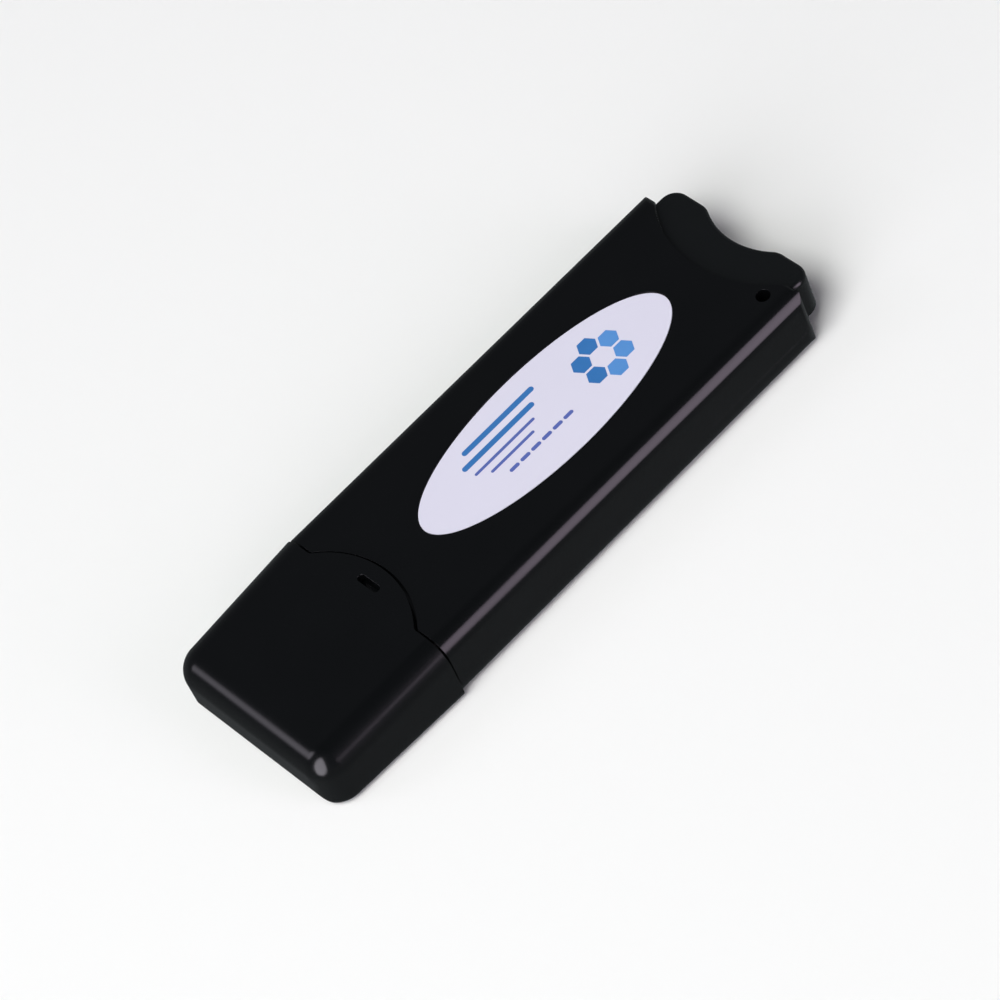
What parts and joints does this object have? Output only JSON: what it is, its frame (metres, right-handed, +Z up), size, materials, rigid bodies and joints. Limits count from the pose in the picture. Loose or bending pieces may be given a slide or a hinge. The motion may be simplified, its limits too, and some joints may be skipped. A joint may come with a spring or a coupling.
{
  "type": "smart home usb radio stick",
  "caption": "Slim black usb radio stick with an oval label, a pull-off cap with a curved tongue, and a stepped tail with a lanyard hole.",
  "frame": {"origin": "middle of the underside, in the length and the width", "axes": "+X along the stick towards the tail, so the plug and its cap point to -X; +Y across; +Z up out of the label"},
  "size_m": [0.0698, 0.0236, 0.0083],
  "materials": {
    "housing_plastic": "black moulded, satin gloss",
    "insert_plastic": "black moulded, satin gloss",
    "label_film": "pale printed film",
    "board_laminate": "green solder mask",
    "plug_steel": "nickel plated",
    "plug_plastic": "white moulded",
    "contact_gold": "gold plated",
    "chip_resin": "black moulding resin",
    "chip_ceramic": "fired ceramic",
    "ferrite": "grey ferrite",
    "can_metal": "tinned",
    "led_lens": "clear resin lens"
  },
  "bodies": {
    "stick": {"upper_shell": "housing_plastic", "lower_shell": "housing_plastic", "end_insert": "insert_plastic", "oval_label": "label_film", "circuit_board": "board_laminate", "usb_shell": "plug_steel", "usb_insulator": "plug_plastic", "usb_contacts": "contact_gold", "radio_chip": "chip_resin", "radio_crystal": "can_metal", "rf_filter": "chip_ceramic", "shield_can": "can_metal", "chip_antenna": "chip_ceramic", "usb_bridge_chip": "chip_resin", "clock_crystal": "can_metal", "protection_diodes": "chip_resin", "voltage_regulator": "chip_resin", "supply_inductor": "ferrite", "chip_capacitors": "chip_ceramic", "chip_resistors": "chip_resin", "status_led": "led_lens"},
    "cap": {"cap": "housing_plastic"}
  },
  "joints": [
    {"name": "cap_slide", "type": "slide", "parent": "stick", "child": "cap", "axis": [-1, 0, 0], "range_m": [0, 0.022]}
  ]
}
